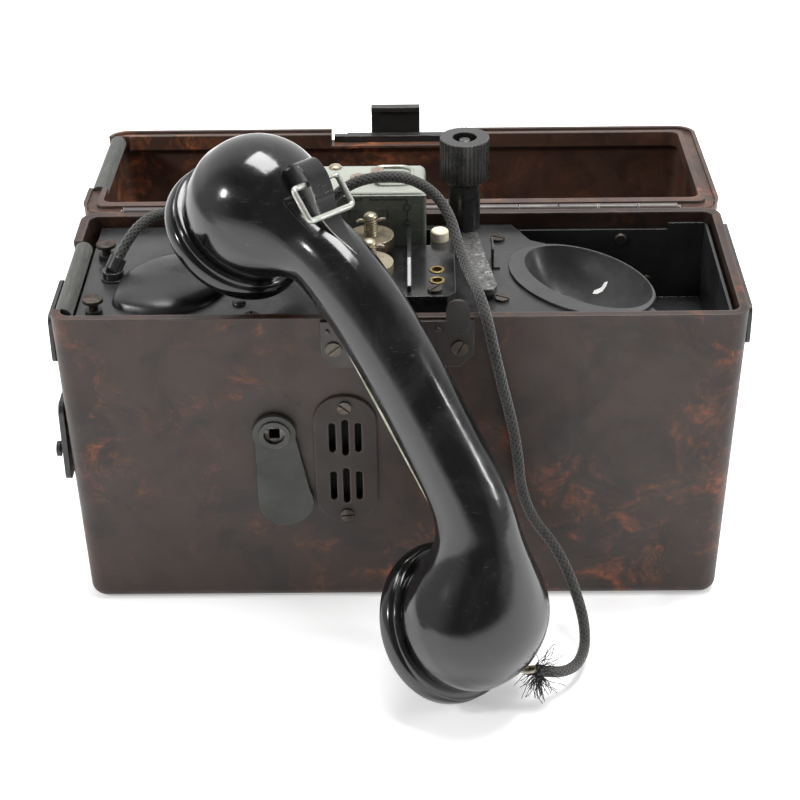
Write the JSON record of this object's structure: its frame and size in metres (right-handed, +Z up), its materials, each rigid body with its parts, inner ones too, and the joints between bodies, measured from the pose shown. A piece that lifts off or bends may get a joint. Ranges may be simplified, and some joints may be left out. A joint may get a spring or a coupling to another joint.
{
  "type": "field telephone",
  "caption": "Portable field telephone in a mottled moulded case with its lid open behind, crank generator and bell inside, and a black corded handset leaning over the front rim.",
  "frame": {"origin": "middle of the case's underside, on the floor", "axes": "+X to the right along the case's long side, +Y from its front to its back, +Z up"},
  "size_m": [0.28, 0.2916, 0.2074],
  "materials": {
    "case_bakelite": "mottled brown moulded resin, satin",
    "black_bakelite": "polished black moulded resin",
    "black_moulding": "satin black moulded resin",
    "black_metal": "worn black enamel",
    "worn_steel": "worn bare steel",
    "nickel_brass": "tarnished plated brass",
    "brass": "plain brass",
    "grey_paint": "chalky grey-green paint",
    "grey_rubber": "aged grey-green rubber",
    "ivory": "yellowed ivory resin",
    "braid": "dark grey cotton braid",
    "iron": "dark magnet iron",
    "copper_winding": "varnished coil winding",
    "battery_card": "waxed card"
  },
  "bodies": {
    "case": {"case_body": "case_bakelite", "case_pad_tube": "grey_rubber", "strike_plate": "black_metal", "front_screws": "worn_steel", "vent_plate": "black_metal", "port_bush": "black_metal", "strap_plate": "black_metal", "strap_stud": "black_metal", "side_pads": "black_metal", "deck_plate": "black_moulding", "deck_screws": "black_metal", "handset_bowl": "black_moulding", "battery_tray": "black_metal", "terminal_block": "black_moulding", "terminal_posts": "nickel_brass", "line_sockets": "brass", "crank_clip": "black_metal", "deck_washers": "black_metal", "cord_gland": "black_moulding", "chassis": "worn_steel", "generator_frame": "worn_steel", "generator_magnets": "iron", "bell_gongs": "worn_steel", "bell_coils": "copper_winding", "induction_coil": "copper_winding", "capacitors": "grey_paint", "dry_battery": "battery_card", "hinge_leaf_case": "black_metal", "hinge_pin": "worn_steel", "handset_cord": "braid"},
    "lid": {"lid_shell": "case_bakelite", "lid_pad_tube": "grey_rubber", "hinge_leaf_lid": "black_metal", "latch_bracket": "black_metal", "latch_pin": "worn_steel"},
    "latch": {"latch_leaf": "black_metal"},
    "handset": {"handset_body": "black_bakelite", "ear_cap": "black_bakelite", "mouth_cap": "black_bakelite", "receiver_capsule": "worn_steel", "microphone_capsule": "worn_steel", "handset_lug": "black_metal", "cord_entry": "black_moulding"},
    "talk_key": {"talk_key": "worn_steel"},
    "handset_ring": {"handset_ring": "worn_steel"},
    "tin": {"tin_box": "grey_paint", "tin_ring_clip": "grey_paint"},
    "tin_ring": {"tin_ring": "worn_steel"},
    "crank": {"crank_arm": "worn_steel"},
    "knob": {"crank_knob": "black_bakelite"},
    "nut_rear": {"terminal_nut_rear": "nickel_brass"},
    "nut_front": {"terminal_nut_front": "nickel_brass"},
    "button": {"test_button": "ivory"},
    "thumb_rear": {"thumb_screw_rear": "worn_steel"},
    "thumb_front": {"thumb_screw_front": "worn_steel"},
    "port_cover": {"port_cover": "black_metal"},
    "drive": {"drive_shaft": "worn_steel", "drive_gear": "brass"},
    "armature": {"armature": "iron"},
    "hammer": {"bell_hammer": "brass"}
  },
  "joints": [
    {"name": "lid_close", "type": "hinge", "parent": "case", "child": "lid", "pos_m": [0, 0.0505, 0.1348], "axis": [1, 0, 0], "range_deg": [0, 90]},
    {"name": "latch_swing", "type": "hinge", "parent": "lid", "child": "latch", "pos_m": [-0.00275, 0.15357, 0.11818], "axis": [-1, 0, 0], "range_deg": [0, 100]},
    {"name": "handset_lift", "type": "slide", "parent": "case", "child": "handset", "axis": [0, 0, 1], "range_m": [0, 0.12]},
    {"name": "talk_key_press", "type": "slide", "parent": "handset", "child": "talk_key", "axis": [0.572, -0.4717, 0.671], "range_m": [0, 0.0015], "stiffness_N_per_m": 900, "springref_m": -0.002},
    {"name": "handset_ring_fold", "type": "hinge", "parent": "handset", "child": "handset_ring", "pos_m": [-0.03073, -0.0434, 0.19188], "axis": [-0.673, -0.7376, 0.0552], "range_deg": [0, 110]},
    {"name": "tin_pull", "type": "slide", "parent": "case", "child": "tin", "axis": [0, 0, 1], "range_m": [0, 0.05]},
    {"name": "tin_ring_fold", "type": "hinge", "parent": "tin", "child": "tin_ring", "pos_m": [-0.009, 0.0235, 0.164], "axis": [0, -1, 0], "range_deg": [0, 150]},
    {"name": "crank_lift_out", "type": "slide", "parent": "case", "child": "crank", "axis": [0, 0, 1], "range_m": [0, 0.08]},
    {"name": "knob_spin", "type": "hinge", "parent": "crank", "child": "knob", "pos_m": [0.027, 0.032, 0.155], "axis": [0, 0, 1], "continuous": true},
    {"name": "rear_nut_spin", "type": "hinge", "parent": "case", "child": "nut_rear", "pos_m": [-0.0114, -0.0025, 0.147], "axis": [0, 0, 1], "continuous": true},
    {"name": "front_nut_spin", "type": "hinge", "parent": "case", "child": "nut_front", "pos_m": [-0.0114, -0.026, 0.147], "axis": [0, 0, 1], "continuous": true},
    {"name": "test_button_press", "type": "slide", "parent": "case", "child": "button", "axis": [0, 0, -1], "range_m": [0, 0.002], "stiffness_N_per_m": 600, "springref_m": -0.002},
    {"name": "rear_thumb_screw_turn", "type": "hinge", "parent": "case", "child": "thumb_rear", "pos_m": [-0.1216, 0.015, 0.136], "axis": [0, 0, 1], "continuous": true},
    {"name": "front_thumb_screw_turn", "type": "hinge", "parent": "case", "child": "thumb_front", "pos_m": [-0.1204, -0.033, 0.136], "axis": [0, 0, 1], "continuous": true},
    {"name": "port_cover_swing", "type": "hinge", "parent": "case", "child": "port_cover", "pos_m": [-0.0505, -0.04673, 0.084], "axis": [0, 0.9999, 0.0147], "range_deg": [0, 95]},
    {"name": "generator_drive", "type": "hinge", "parent": "case", "child": "drive", "pos_m": [-0.0505, 0, 0.084], "axis": [0, 1, 0], "continuous": true},
    {"name": "armature_spin", "type": "hinge", "parent": "case", "child": "armature", "pos_m": [-0.0505, 0, 0.06], "axis": [0, 1, 0], "continuous": true},
    {"name": "bell_hammer_swing", "type": "hinge", "parent": "case", "child": "hammer", "pos_m": [0.005, -0.031, 0.062], "axis": [0, 1, 0], "range_deg": [-8, 8], "stiffness_Nm_per_rad": 0.02}
  ],
  "couplings": [
    {"joint": "armature_spin", "follows": "generator_drive", "ratio": -5}
  ]
}
